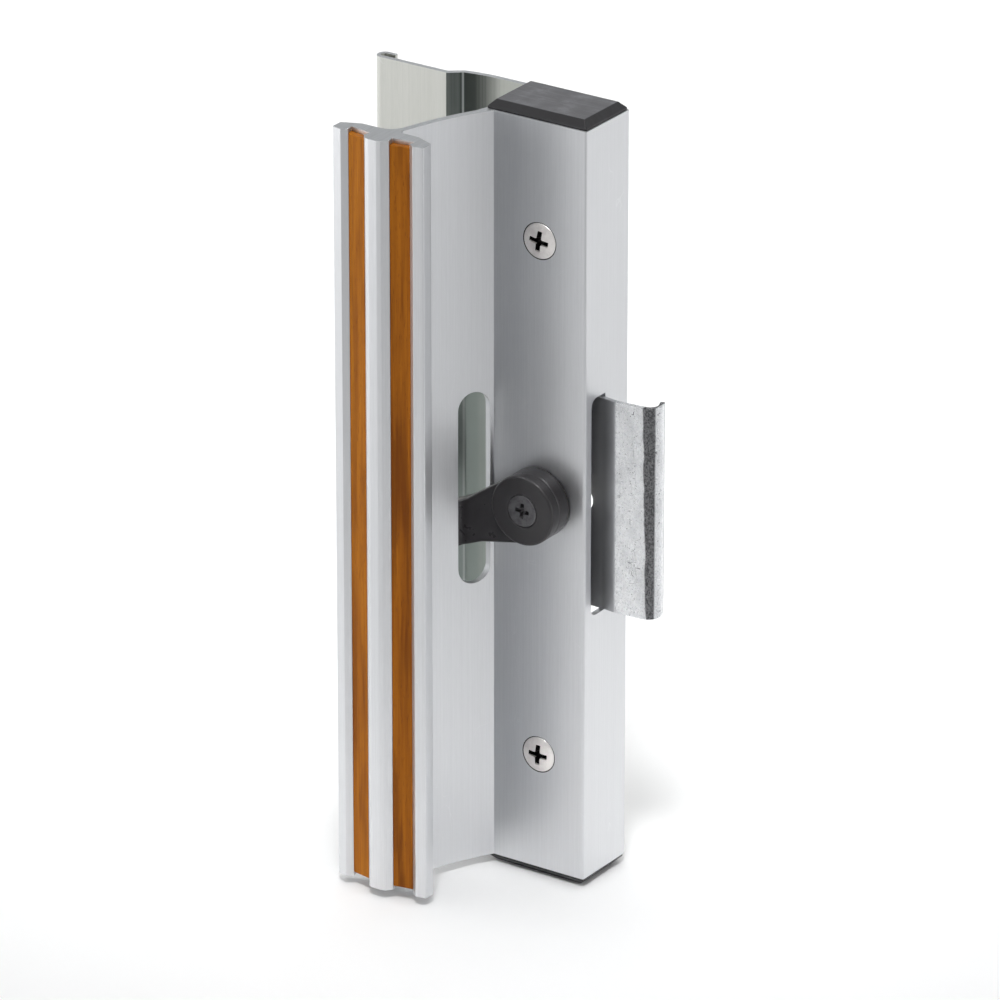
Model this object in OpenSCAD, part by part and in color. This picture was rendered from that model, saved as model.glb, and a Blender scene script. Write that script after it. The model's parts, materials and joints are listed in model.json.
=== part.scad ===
// Sliding patio door handle set: an inside pull that carries a lever-driven clamp latch,
// and an outside pull screwed to it. Units are millimetres.
// +X points towards the strike jamb, +Y goes through the door to the outside, +Z is up.
// The origin is on the line of the two mounting screws, at mid-height, on the door plane.

/* [Housing] */
// Length of both aluminium extrusions
pull_len = 244.5; // [220:0.5:270]
// Width of the front face, from the grip web's crease to the strike edge
face_w = 33; // [31:0.5:36]
// How far the housing stands past the crease, behind the web
shoulder = 3; // [2:0.5:4]
// Depth of the housing, from the door plane to the front face
box_d = 23; // [21:0.5:26]
// Wall of the housing channel
wall = 2; // [1.6:0.1:2.4]
// Width of each rear lip of the channel, which lies on the door
lip_w = 5; // [4:0.5:6]

/* [Grip] */
// Width of the grip bar across the front of the web
grip_w = 32.5; // [30:0.5:36]
// Reach of the grip bar's centre rib in front of the housing face
grip_reach = 40.5; // [40:0.5:44]
// Thickness of the grip web
web_t = 2.1; // [1.9:0.1:2.4]
// Bend radius of the web's front surface
web_r = 90; // [80:5:90]
// Angle between the web and the housing face at the crease
web_root_angle = 57.5; // [57:0.5:60]
// The same angle where the web meets the grip bar
web_tip_angle = 73; // [71:0.5:73]
// Distance from the crease to the middle of the grip bar, across the door
grip_offset = 15.7; // [15.2:0.1:16]
// Radius of the fillet between the back of the web and the grip bar
fillet_r = 6; // [4.5:0.5:6]

/* [Wood inserts] */
// Thickness of a wood insert
insert_t = 2.4; // [1.8:0.1:2.6]
// How far each insert stops short of the extrusion's top and bottom
insert_short = 1.4; // [0.5:0.1:3]

/* [Web slot] */
// End to end height of the slot that the lever passes through
slot_h = 62.6; // [58:0.2:68]
// Width of that slot along the web
slot_w = 10.8; // [9.8:0.1:11]
// Distance along the web from the crease to the middle of the slot
slot_mid = 6.6; // [6.5:0.1:7]
// Height of the slot's middle above the lever's axis
slot_rise = 1.5; // [0:0.1:1.5]

/* [Outside pull] */
// Plate thickness of the outside pull
plate_t = 1.6; // [1.4:0.1:2]
// Distance from the screw line to the outer curl's edge
plate_reach = 72.8; // [65:0.1:85]
// Distance from the screw line to the near end of the step
step_x = 42.2; // [41:0.1:46]
// How far the finger plate is offset towards the room
step_h = 4.6; // [4:0.1:5]
// Depth of the curl at the finger plate's edge
curl_d = 5; // [4:0.5:6]
// Height of the notch that clears the latch in the base plate's leading edge
notch_h = 124; // [110:2:130]

/* [Mounting] */
// Distance between the two mounting screws, a standard 6 5/8 inches
screw_pitch = 168.3; // [168.3:0.1:168.3]
// Diameter of a mounting screw's shank
screw_d = 5.5; // [4.8:0.1:5.5]
// Diameter of a mounting screw's head
screw_head_d = 11.3; // [10:0.1:11.6]

/* [Lever] */
// Diameter of the lever's hub
hub_d = 22.2; // [20:0.2:24]
// Height of the hub in front of the housing face
hub_h = 9.5; // [9:0.1:10.5]
// Distance from the pivot to the end of the thumb pad
lever_len = 45; // [40:0.5:50]
// Thickness of the lever's arm
arm_t = 5; // [4:0.1:5.2]
// Distance from the housing face to the back of the arm
arm_gap = 3; // [2.6:0.1:3]
// Width of the arm where it passes through the web
arm_w = 14.2; // [12:0.2:14.6]
// Angle of the arm below horizontal at rest
lever_rest = 23; // [20:1:26]
// Angle of the arm below or above horizontal at its stops
lever_stop = 36; // [32:1:38]

/* [Drive] */
// Radius of the spindle
spindle_r = 4; // [3.5:0.1:4]
// Radius of the crank pin
pin_r = 1.75; // [1.5:0.05:1.75]
// Distance from the spindle's axis to the crank pin's axis
crank_e = 9; // [9:0.1:9.4]

/* [Clamp latch] */
// Thickness of the clamp plate
clamp_t = 1.5; // [1.2:0.1:1.6]
// Height of the part of the clamp plate that leaves the housing
clamp_h = 69; // [60:0.5:70]
// Distance from the door plane to the clamp plate's front surface
clamp_y = 14; // [13.8:0.1:14.4]
// How far the clamp reaches past the strike side at rest
clamp_reach = 18.6; // [17:0.1:20]
// Length of the clamp's hooked lip
clamp_lip = 6.4; // [5:0.1:7]

/* [Hidden] */
$fn = 96;
// Clearances: sliding parts, a shaft in its bush, a piece pushed into its place
slide_gap = 0.2;
run_gap = 0.05;
push_gap = 0.1;
// How far cutters run past a face, and how far joined solids lap into each other
cut = 1;
lap = 0.1;
// Housing planes
crease_x = -face_w / 2;
left_x = crease_x - shoulder;
right_x = face_w / 2;
face_y = -box_d;
front_in_y = face_y + wall;
lip_in_y = -wall;
screw_z = screw_pitch / 2;
screw_sink = 1.85;
screw_tip_y = 6.5;
// Grip bar, measured from the middle of the web's tip and from the housing face
grip_half = grip_w / 2;
grip_x = crease_x - grip_offset;
dovetail = 0.5;
root_run = 5;
root_drop = 1.2;
edge_r = 0.8;
rib_half = 3.4;
insert_in = 4.5;
insert_out = 11;
lip_crest_in = 12.9;
rib_shoulder = grip_reach - 0.6;
insert_in_y = grip_reach - 2.3;
insert_out_y = grip_reach - 3.5;
lip_crest_y = grip_reach - 2.2;
lip_end_y = grip_reach - 2.9;
grip_back_y = grip_reach - 9.6;
grip_edge_y = grip_reach - 7;
// Mechanism planes, as Y coordinates
plate_front_y = -clamp_y;
plate_back_y = plate_front_y + clamp_t;
cam_front_y = front_in_y + 0.8;
cam_back_y = cam_front_y + 3;
socket_depth = 4.8;
hub_back_y = face_y - slide_gap;
hub_front_y = face_y - hub_h;
spindle_square = 6.35;
bush_flange_t = 0.8;
bush_flange_r = 7.5;
bush_wall = 1;
lever_screw_r = 2.4;
lever_head_r = 5.1;
lever_head_h = 2.7;
lever_screw_end = cam_back_y - 2;
// Clamp latch: one degree of the lever moves it by the same step over the whole travel
slide_per_rad = crank_e * sin(lever_stop) / (lever_stop * PI / 180);
pin_slot_x = slide_per_rad * lever_rest * PI / 180;
aperture_half = clamp_h / 2 + 1;
aperture_front = 3.5;
aperture_rear = 10.9;
ear_half = 40.6;
ear_left = -7.6;
ear_right = 12;
guide_slot_left = -6;
guide_slot_right = 13.4;
post_r = spindle_r - 0.1;
shoulder_r = 6;
cam_rim = 1.6;
clip_y = plate_back_y + 0.4;
clip_groove = 0.75;
groove_r = post_r - 0.8;
// Guide blocks sit above and below the aperture, against the wall away from it
guide_low = aperture_half + 0.5;
guide_high = 46;
guide_right = 4;

// Points of a circular arc, from angle a0 to a1 in n steps
function arc(cx, cy, r, a0, a1, n) =
    [for (i = [0:n]) [cx + r * cos(a0 + (a1 - a0) * i / n), cy + r * sin(a0 + (a1 - a0) * i / n)]];

// A point of the web at heading h, at depth t behind its front surface
function web_point(h, t = 0) = [
    crease_x - web_r * (sin(h) - sin(web_root_angle)) - t * sin(h),
    face_y + web_r * (cos(h) - cos(web_root_angle)) + t * cos(h)
];

// The web's heading at a distance s along its front surface
function web_heading(s) = web_root_angle + s / web_r * 180 / PI;

function backwards(v) = [for (i = [len(v) - 1:-1:0]) v[i]];

// Points along one surface of the web at depth t, from heading h0 to its tip
web_steps = 14;
function web_side(t, h0) =
    [for (i = [0:web_steps]) web_point(h0 + (web_tip_angle - h0) * i / web_steps, t)];

// Fillets between the web and the grip bar's back: each is tangent to the web and to the bar.
// s is the side, 1 in front of the web and -1 behind it, and p is the web's last point there.
front_fillet_r = 1.5;
function fillet_y(r) = face_y - grip_back_y + r;
function fillet_x(s, p, r) =
    p[0] + s * (r + s * (fillet_y(r) - p[1]) * cos(web_tip_angle)) / sin(web_tip_angle);
function fillet(s, p, r, a) = arc(fillet_x(s, p, r), fillet_y(r), r, a, s > 0 ? 270 : -90, 8);
right_fillet = fillet(1, web_point(web_tip_angle), front_fillet_r, 90 + web_tip_angle);
left_fillet = fillet(-1, web_point(web_tip_angle, web_t), fillet_r, web_tip_angle - 90);

// Groove of a wood insert, from its outer to its inner edge; s is the side, -1 or 1
function groove(s, gap = 0) = [
    [grip_x + s * (insert_out - gap), face_y - insert_out_y],
    [grip_x + s * (insert_out + dovetail - gap), face_y - insert_out_y + insert_t - gap],
    [grip_x + s * (insert_in - dovetail + gap), face_y - insert_in_y + insert_t - gap],
    [grip_x + s * (insert_in + gap), face_y - insert_in_y]
];

// One side of the grip bar's outline, from its back to the middle of its front
function grip_side(s) = concat(
    [
        [grip_x + s * (grip_half - 6), face_y - grip_back_y],
        [grip_x + s * (grip_half - edge_r), face_y - grip_edge_y + 0.2],
        [grip_x + s * grip_half, face_y - grip_edge_y - edge_r],
        [grip_x + s * grip_half, face_y - lip_end_y + edge_r],
        [grip_x + s * (grip_half - edge_r), face_y - lip_end_y - 0.2],
        [grip_x + s * lip_crest_in, face_y - lip_crest_y]
    ],
    groove(s),
    [
        [grip_x + s * rib_half, face_y - rib_shoulder + 0.3],
        [grip_x + s * (rib_half - 0.6), face_y - rib_shoulder - 0.3],
        [grip_x + s * rib_half * 0.4, face_y - grip_reach]
    ]
);

// Whole outline of the inside pull: channel, web and grip bar in one extrusion
module pull_section() {
    channel = concat(
        arc(right_x - edge_r, face_y + edge_r, edge_r, -90, 0, 4),
        [
            [right_x, 0],
            [right_x - lip_w, 0],
            [right_x - lip_w, lip_in_y],
            [right_x - wall, lip_in_y],
            [right_x - wall, front_in_y],
            [left_x + wall, front_in_y],
            [left_x + wall, lip_in_y],
            [left_x + lip_w, lip_in_y],
            [left_x + lip_w, 0],
            [left_x, 0],
            [left_x, face_y + root_drop]
        ]
    );
    polygon(concat(
        channel,
        web_side(web_t, web_heading(root_run)),
        left_fillet,
        grip_side(-1),
        backwards(grip_side(1)),
        backwards(right_fillet),
        backwards(web_side(0, web_root_angle))
    ));
}

// A bar with round ends, standing on Z and cut through along Y
module slot_y(x0, x1, half, y0, y1) {
    translate([x0 + half, y0, -half])
        cube([x1 - x0 - 2 * half, y1 - y0, 2 * half]);
    for (x = [x0 + half, x1 - half])
        translate([x, y0, 0])
            rotate([-90, 0, 0])
                cylinder(r = half, h = y1 - y0);
}

// Straight cylinder along +Y, starting at y0
module rod_y(x, z, r, y0, y1) {
    translate([x, y0, z])
        rotate([-90, 0, 0])
            cylinder(r = r, h = y1 - y0);
}

// Cone along +Y from radius r0 at y0 to radius r1 at y1
module cone_y(x, z, r0, r1, y0, y1) {
    translate([x, y0, z])
        rotate([-90, 0, 0])
            cylinder(r1 = r0, r2 = r1, h = y1 - y0);
}

// Slot with round ends through the web, square to its front surface
module web_slot_cut() {
    h = web_heading(slot_mid);
    reach = (slot_h - slot_w) / 2;
    front_cut = 1.6;
    depth = front_cut + web_t + 1.3;
    translate(concat(web_point(h), [slot_rise]))
        rotate([0, 0, 90 + h])
            translate([-front_cut, 0, 0]) {
                translate([0, -slot_w / 2, -reach])
                    cube([depth, slot_w, 2 * reach]);
                for (z = [-reach, reach])
                    translate([0, 0, z])
                        rotate([0, 90, 0])
                            cylinder(d = slot_w, h = depth);
            }
}

// Opening in the strike side for the clamp, with rounded front corners
module aperture_cut() {
    corner_r = 3;
    y0 = face_y + aperture_front;
    y1 = face_y + aperture_rear;
    x0 = right_x - wall - cut;
    depth = wall + 2 * cut;
    translate([x0, y0 + corner_r, -aperture_half])
        cube([depth, y1 - y0 - corner_r, 2 * aperture_half]);
    translate([x0, y0, -aperture_half + corner_r])
        cube([depth, corner_r + cut, 2 * (aperture_half - corner_r)]);
    for (z = [-aperture_half + corner_r, aperture_half - corner_r])
        translate([x0, y0 + corner_r, z])
            rotate([0, 90, 0])
                cylinder(r = corner_r, h = depth);
}

// Countersunk hole for a mounting screw
module mount_screw_cut(z) {
    hole_r = screw_d / 2 + 0.25;
    rod_y(0, z, hole_r, face_y - cut, front_in_y + cut);
    cone_y(0, z, screw_head_d / 2 + push_gap, hole_r, face_y, face_y + screw_sink + 0.05);
}

module inside_pull() {
    color([0.74, 0.75, 0.76])
        difference() {
            translate([0, 0, -pull_len / 2])
                linear_extrude(pull_len)
                    pull_section();
            web_slot_cut();
            aperture_cut();
            mount_screw_cut(screw_z);
            mount_screw_cut(-screw_z);
            rod_y(0, 0, spindle_r + bush_wall + run_gap, face_y - cut, front_in_y + cut);
        }
}

module wood_insert(s) {
    color([0.58, 0.34, 0.12])
        translate([0, 0, -pull_len / 2 + insert_short])
            linear_extrude(pull_len - 2 * insert_short)
                polygon(groove(s, run_gap));
}

module wood_insert_left() {
    wood_insert(-1);
}

module wood_insert_right() {
    wood_insert(1);
}

// Outside pull: base plate on the door that curves up to a step, and a finger plate that ends
// in a curl, with a boss behind each mounting screw
base_end = 10.5;
notch_x = -8;
boss_r = 6.5;
boss_d = 8.5;
boss_edge = 0.8;
module outside_section() {
    step_run = 3.9;
    cove_run = 12;
    cove_angle = 14;
    cove_r = cove_run / sin(cove_angle);
    curl_r = curl_d / 2;
    curl_t = 1.3;
    curl_back = 3.1;
    curl_x = -plate_reach + curl_r;
    curl_y = -step_h + curl_r;
    polygon(concat(
        [
            [base_end, 0]
        ],
        arc(cove_run - step_x, -cove_r, cove_r, 90, 90 + cove_angle, 6),
        [
            [-step_x - step_run, -step_h]
        ],
        arc(curl_x, curl_y, curl_r, 270, 90, 16),
        [
            [curl_x + curl_back, curl_y + curl_r],
            [curl_x + curl_back, curl_y + curl_r - curl_t]
        ],
        arc(curl_x, curl_y, curl_r - curl_t, 90, 250, 12),
        [
            [curl_x + 1, -step_h + plate_t],
            [-step_x - step_run - 0.6, -step_h + plate_t]
        ],
        arc(cove_run - step_x, -cove_r, cove_r + plate_t, 90 + cove_angle, 90, 6),
        [
            [base_end, plate_t]
        ]
    ));
}

module outside_pull() {
    color([0.76, 0.77, 0.74])
        difference() {
            union() {
                translate([0, 0, -pull_len / 2])
                    linear_extrude(pull_len)
                        outside_section();
                // bosses that the mounting screws are threaded into
                for (z = [-screw_z, screw_z]) {
                    rod_y(0, z, boss_r, plate_t - lap, boss_d - boss_edge);
                    cone_y(0, z, boss_r, boss_r - boss_edge, boss_d - boss_edge, boss_d);
                }
            }
            for (z = [-screw_z, screw_z])
                rod_y(0, z, screw_d / 2, -cut, screw_tip_y + 0.5);
            // notch between the screws, clear of the latch
            translate([notch_x, -cut, -notch_h / 2])
                cube([base_end - notch_x + cut, plate_t + 2 * cut, notch_h]);
        }
}

// End cap: a chamfered plate over the channel's end, with four legs that grip its walls
module end_cap(side) {
    inset = 0.35;
    chamfer = 2.1;
    band = 0.7;
    cap_h = 2.8;
    leg = 8;
    leg_w = 3;
    leg_d = 5;
    w = right_x - left_x - 2 * inset;
    d = box_d - 2 * inset;
    color([0.12, 0.12, 0.13])
        scale([1, 1, side])
            translate([0, 0, pull_len / 2]) {
                hull() {
                    translate([left_x + inset, face_y + inset, 0])
                        cube([w, d, band]);
                    translate([left_x + inset + chamfer, face_y + inset + chamfer, 0])
                        cube([w - 2 * chamfer, d - 2 * chamfer, cap_h]);
                }
                for (x = [left_x + wall + push_gap, right_x - wall - push_gap - leg_w])
                    for (y = [front_in_y + push_gap, lip_in_y - push_gap - leg_d])
                        translate([x, y, -leg])
                            cube([leg_w, leg_d, leg + lap]);
            }
}

module top_cap() {
    end_cap(1);
}

module bottom_cap() {
    end_cap(-1);
}

// Cross recess of a screw head, cut inwards from the plane y0
module cross_recess(z, y0, size, depth) {
    for (a = [0, 90])
        translate([0, y0 + (depth - cut) / 2, z])
            rotate([0, a, 0])
                cube([size, depth + cut, size * 0.2], center = true);
}

// Oval countersunk screw along +Y
module mount_screw(z, turn) {
    dome = 0.8;
    sphere_r = (pow(screw_head_d / 2, 2) + dome * dome) / (2 * dome);
    color([0.7, 0.69, 0.66])
        translate([0, 0, z])
            rotate([0, turn, 0])
                difference() {
                    union() {
                        cone_y(0, 0, screw_head_d / 2, screw_d / 2, face_y, face_y + screw_sink);
                        rod_y(0, 0, screw_d / 2 - 0.02, face_y + 1, screw_tip_y);
                        intersection() {
                            translate([0, face_y - dome + sphere_r, 0])
                                sphere(r = sphere_r);
                            rod_y(0, 0, screw_head_d / 2, face_y - dome - cut, face_y);
                        }
                    }
                    cross_recess(0, face_y - dome, 6.6, 2);
                }
}

module upper_mount_screw() {
    mount_screw(screw_z, 8);
}

module lower_mount_screw() {
    mount_screw(-screw_z, 3);
}

// Tube that keeps a screw from crushing the channel
module spacer(z) {
    spacer_r = 4.5;
    color([0.66, 0.67, 0.68])
        difference() {
            rod_y(0, z, spacer_r, front_in_y, 0);
            rod_y(0, z, screw_d / 2 + slide_gap, front_in_y - cut, cut);
        }
}

module upper_spacer() {
    spacer(screw_z);
}

module lower_spacer() {
    spacer(-screw_z);
}

// Outline of the lever's arm, in the plane of the face, pointing along -X before it is turned
module arm_outline() {
    neck = 20;
    pad_start = 28;
    pad_r = 8.2;
    polygon([
        [-2, hub_d / 2 - 0.4],
        [-neck, arm_w / 2],
        [-pad_start, arm_w / 2 - 0.2],
        [-lever_len + pad_r, pad_r],
        [-lever_len + pad_r, -pad_r],
        [-pad_start, -arm_w / 2 + 0.2],
        [-neck, -arm_w / 2],
        [-2, -hub_d / 2 + 0.4]
    ]);
    translate([-lever_len + pad_r, 0])
        circle(r = pad_r);
}

// Turns a shape drawn with the lever horizontal to the lever's rest position
module at_lever_rest() {
    rotate([0, -lever_rest, 0])
        children();
}

module thumb_lever() {
    arm_back_y = face_y - arm_gap;
    ridge_h = 1.6;
    ridge_half = 6.2;
    socket = spindle_square + 2 * run_gap;
    seat_y = hub_front_y + lever_head_h + slide_gap;
    color([0.14, 0.14, 0.15])
        at_lever_rest()
            difference() {
                union() {
                    rod_y(0, 0, hub_d / 2, hub_front_y, hub_back_y);
                    translate([0, arm_back_y, 0])
                        rotate([90, 0, 0])
                            linear_extrude(arm_t)
                                arm_outline();
                    // thumb ridge at the end of the arm
                    translate([-lever_len + 4, arm_back_y - arm_t - ridge_h, -ridge_half])
                        cube([3, ridge_h + lap, 2 * ridge_half]);
                }
                rod_y(0, 0, bush_flange_r + slide_gap, face_y - bush_flange_t - push_gap, face_y);
                translate([-socket / 2, face_y - socket_depth, -socket / 2])
                    cube([socket, socket_depth + cut, socket]);
                rod_y(0, 0, lever_screw_r + 0.15, hub_front_y - cut, face_y);
                cone_y(0, 0, lever_head_r + 0.25, lever_screw_r + 0.15, hub_front_y, seat_y);
            }
}

module lever_screw() {
    top_y = hub_front_y + 0.15;
    color([0.27, 0.28, 0.3])
        at_lever_rest()
            difference() {
                union() {
                    cone_y(0, 0, lever_head_r, lever_screw_r, top_y, top_y + lever_head_h);
                    rod_y(0, 0, lever_screw_r, top_y + 2, lever_screw_end);
                }
                cross_recess(0, top_y, 5.6, 1.8);
            }
}

module spindle_bush() {
    color([0.85, 0.84, 0.8])
        difference() {
            union() {
                rod_y(0, 0, spindle_r + bush_wall, face_y - lap, front_in_y);
                rod_y(0, 0, bush_flange_r, face_y - bush_flange_t, face_y);
            }
            rod_y(0, 0, spindle_r + run_gap, face_y - bush_flange_t - cut, front_in_y + cut);
        }
}

module friction_washer() {
    washer_r = 9;
    washer_t = 0.6;
    color([0.6, 0.61, 0.62])
        difference() {
            rod_y(0, 0, washer_r, front_in_y, front_in_y + washer_t);
            rod_y(0, 0, spindle_r + 0.3, front_in_y - cut, front_in_y + cut);
        }
}

// Spindle, cam disc and rear post in one piece, with a square end for the lever
module drive_cam() {
    square_end_y = face_y - socket_depth + 0.2;
    flange_y = face_y - bush_flange_t;
    color([0.62, 0.6, 0.55])
        at_lever_rest()
            difference() {
                union() {
                    translate([-spindle_square / 2, square_end_y, -spindle_square / 2])
                        cube([spindle_square, flange_y - 0.05 - square_end_y, spindle_square]);
                    rod_y(0, 0, spindle_r, flange_y - 0.1, cam_front_y + lap);
                    rod_y(0, 0, crank_e + pin_r + cam_rim, cam_front_y, cam_back_y);
                    rod_y(0, 0, shoulder_r, cam_back_y - lap, plate_front_y - 0.3);
                    rod_y(0, 0, post_r, plate_front_y - 0.3 - lap, clip_y);
                    rod_y(0, 0, groove_r, clip_y - lap, clip_y + clip_groove + lap);
                    rod_y(0, 0, post_r, clip_y + clip_groove, clip_y + clip_groove + 1);
                }
                rod_y(0, 0, lever_screw_r, square_end_y - cut, lever_screw_end + 0.5);
                rod_y(0, -crank_e, pin_r, cam_front_y - cut, cam_back_y + cut);
            }
}

module cam_pin() {
    color([0.72, 0.73, 0.74])
        at_lever_rest()
            rod_y(0, -crank_e, pin_r, cam_front_y, plate_back_y + 0.9);
}

module retaining_ring() {
    ring_r = 6.4;
    mouth = 4.8;
    color([0.3, 0.3, 0.32])
        at_lever_rest()
            difference() {
                rod_y(0, 0, ring_r, clip_y + run_gap, clip_y + clip_groove - run_gap);
                rod_y(0, 0, groove_r, clip_y - cut, clip_y + clip_groove + cut);
                // open side of the ring
                translate([-mouth / 2, clip_y - cut, 0])
                    cube([mouth, clip_groove + 2 * cut, ring_r + cut]);
            }
}

// Plan section of the clamp: flat inside the housing, set forward, then hooked back
module clamp_section() {
    bend_x = right_x + 5;
    end_x = right_x + clamp_reach;
    bend_r = 4.2;
    lip_angle = 22;
    set_y = plate_front_y - 0.6;
    end_y = set_y + 0.7;
    cx = end_x - bend_r;
    cy = end_y + bend_r;
    inner_r = bend_r - clamp_t;
    across = [cos(lip_angle), sin(lip_angle)];
    tip = [cx, cy] + (clamp_lip - bend_r) * [-sin(lip_angle), cos(lip_angle)];
    polygon(concat(
        [
            [ear_left, plate_front_y],
            [right_x + 0.4, plate_front_y],
            [bend_x, set_y]
        ],
        arc(cx, cy, bend_r, -90, lip_angle, 12),
        [
            tip + bend_r * across,
            tip + inner_r * across
        ],
        arc(cx, cy, inner_r, lip_angle, -90, 12),
        [
            [bend_x, set_y + clamp_t],
            [right_x + 0.4, plate_back_y],
            [ear_left, plate_back_y]
        ]
    ));
}

module clamp_latch() {
    pin_z_low = -crank_e - pin_r - slide_gap;
    pin_z_high = -crank_e * cos(lever_stop) + pin_r + slide_gap;
    pin_half = pin_r + 0.25;
    color([0.72, 0.72, 0.7])
        difference() {
            union() {
                translate([0, 0, -clamp_h / 2])
                    linear_extrude(clamp_h)
                        clamp_section();
                translate([ear_left, plate_front_y, -ear_half])
                    cube([ear_right - ear_left, clamp_t, 2 * ear_half]);
            }
            slot_y(guide_slot_left, guide_slot_right, post_r + 0.15, plate_front_y - cut, plate_back_y + cut);
            // upright slot for the crank pin
            translate([pin_slot_x - pin_half, plate_front_y - cut, pin_z_low + pin_r])
                cube([2 * pin_half, clamp_t + 2 * cut, pin_z_high - pin_z_low - 2 * pin_r]);
            for (z = [pin_z_low + pin_r, pin_z_high - pin_r])
                rod_y(pin_slot_x, z, pin_half, plate_front_y - cut, plate_back_y + cut);
        }
}

// Nylon guide block, held in the channel behind its lip, with a groove for the ears
module guide_block(side) {
    x0 = left_x + wall + push_gap;
    depth = box_d - 2 * (wall + push_gap);
    groove_high = ear_half + 0.6;
    color([0.85, 0.84, 0.8])
        scale([1, 1, side])
            difference() {
                translate([x0, front_in_y + push_gap, guide_low])
                    cube([guide_right - x0, depth, guide_high - guide_low]);
                translate([left_x, plate_front_y - slide_gap, guide_low - cut])
                    cube([right_x - left_x, clamp_t + 2 * slide_gap, groove_high - guide_low + cut]);
            }
}

module upper_guide() {
    guide_block(1);
}

module lower_guide() {
    guide_block(-1);
}

inside_pull();
outside_pull();
wood_insert_left();
wood_insert_right();
top_cap();
bottom_cap();
upper_mount_screw();
lower_mount_screw();
upper_spacer();
lower_spacer();
thumb_lever();
lever_screw();
spindle_bush();
friction_washer();
drive_cam();
cam_pin();
retaining_ring();
clamp_latch();
upper_guide();
lower_guide();
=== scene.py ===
"""Sliding patio door handle set: the looks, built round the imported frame.

Lengths are in millimetres and angles in degrees; MM turns lengths into Blender's metres.
The axes are the part's own: +X towards the strike jamb, +Y through the door, +Z up.
"""
import json
import math

import bmesh
import bpy
from mathutils import Matrix, Vector


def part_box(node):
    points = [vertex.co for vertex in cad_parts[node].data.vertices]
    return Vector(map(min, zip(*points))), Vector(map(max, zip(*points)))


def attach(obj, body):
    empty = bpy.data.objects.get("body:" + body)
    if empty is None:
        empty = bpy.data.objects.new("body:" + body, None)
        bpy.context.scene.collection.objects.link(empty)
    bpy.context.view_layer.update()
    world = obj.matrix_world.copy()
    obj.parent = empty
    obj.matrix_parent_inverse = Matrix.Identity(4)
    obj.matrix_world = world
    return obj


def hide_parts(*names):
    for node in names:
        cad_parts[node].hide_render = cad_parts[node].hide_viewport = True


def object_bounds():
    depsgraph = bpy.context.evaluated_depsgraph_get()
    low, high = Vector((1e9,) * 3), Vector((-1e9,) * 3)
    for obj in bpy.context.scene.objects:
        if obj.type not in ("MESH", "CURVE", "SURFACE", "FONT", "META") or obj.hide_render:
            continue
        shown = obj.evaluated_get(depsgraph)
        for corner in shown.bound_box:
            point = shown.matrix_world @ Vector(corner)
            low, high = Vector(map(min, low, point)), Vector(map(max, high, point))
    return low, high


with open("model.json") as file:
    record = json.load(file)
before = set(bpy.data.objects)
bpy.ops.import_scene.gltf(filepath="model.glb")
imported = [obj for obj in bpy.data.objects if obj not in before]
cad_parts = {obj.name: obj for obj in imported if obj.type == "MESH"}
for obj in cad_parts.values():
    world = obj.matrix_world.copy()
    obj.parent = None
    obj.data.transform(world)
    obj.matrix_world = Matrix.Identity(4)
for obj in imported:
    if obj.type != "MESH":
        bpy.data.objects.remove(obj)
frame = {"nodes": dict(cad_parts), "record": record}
cad_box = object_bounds()

MM = 0.001
RECORD = frame["record"]
BODY_OF = {n: body for body, members in RECORD["behaviour"]["bodies"].items() for n in members}


def box_mm(node):
    """Lowest and highest corner of a CAD node, in millimetres."""
    low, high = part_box(node)
    return low / MM, high / MM


# ---------------------------------------------------------------- sizes taken from the frame
pull_low, pull_high = box_mm("inside_pull")
outside_low, outside_high = box_mm("outside_pull")
insert_low, insert_high = box_mm("wood_insert_left")
cap_low, cap_high = box_mm("top_cap")
screw_low, screw_high = box_mm("upper_mount_screw")
head_low, head_high = box_mm("lever_screw")
clamp_low, clamp_high = box_mm("clamp_latch")

HALF = pull_high.z
RIGHT_X = pull_high.x
SCREW_Z = (screw_low.z + screw_high.z) / 2
SCREW_HEAD_R = (screw_high.x - screw_low.x) / 2
END_BAND = 0.2  # faces this close to an extrusion's end belong to its cut end

# ---------------------------------------------------------------- sizes shared with the design
FACE_W = 33.0
SHOULDER = 3.0
BOX_D = 23.0
WALL = 2.0
LIP_W = 5.0
GRIP_W = 32.5
WEB_T = 2.1
WEB_R = 90.0
WEB_ROOT_ANGLE = 57.5
WEB_TIP_ANGLE = 73.0
FILLET_R = 6.0
FRONT_FILLET_R = 1.5
EDGE_R = 0.8

FACE_Y = -BOX_D
CREASE_X = RIGHT_X - FACE_W
LEFT_X = CREASE_X - SHOULDER
GRIP_X = pull_low.x + GRIP_W / 2
GRIP_REACH = FACE_Y - pull_low.y
SLOT_H, SLOT_W = 62.6, 10.8
SLOT_MID, SLOT_RISE = 6.6, 1.5  # distance from the crease along the web, and height of its middle
LEVER_REST = 23.0
HUB_R = 11.1
HUB_H = 9.5
HUB_FRONT_Y = FACE_Y - HUB_H
STEP_X, STEP_RUN, STEP_H = -42.2, 3.9, 4.6  # where the outside pull steps away from the door
CLAMP_T = 1.5
CLAMP_FRONT = clamp_low.y + 0.6  # front of the clamp plate inside the housing
EAR_H = 5.1  # how far the clamp plate's ears pass the ends of its opening
APERTURE_HALF = clamp_high.z - EAR_H
APERTURE_FRONT, APERTURE_REAR = FACE_Y + 3.5, FACE_Y + 10.9
CAMERA_AZIMUTH = 34.14


# ---------------------------------------------------------------- outlines
def cosd(angle):
    return math.cos(math.radians(angle))


def sind(angle):
    return math.sin(math.radians(angle))


def arc(cx, cy, r, start, end, steps):
    """Points along a circular arc, ends included."""
    turns = [start + (end - start) * i / steps for i in range(steps + 1)]
    return [(cx + r * cosd(a), cy + r * sind(a)) for a in turns]


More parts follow.
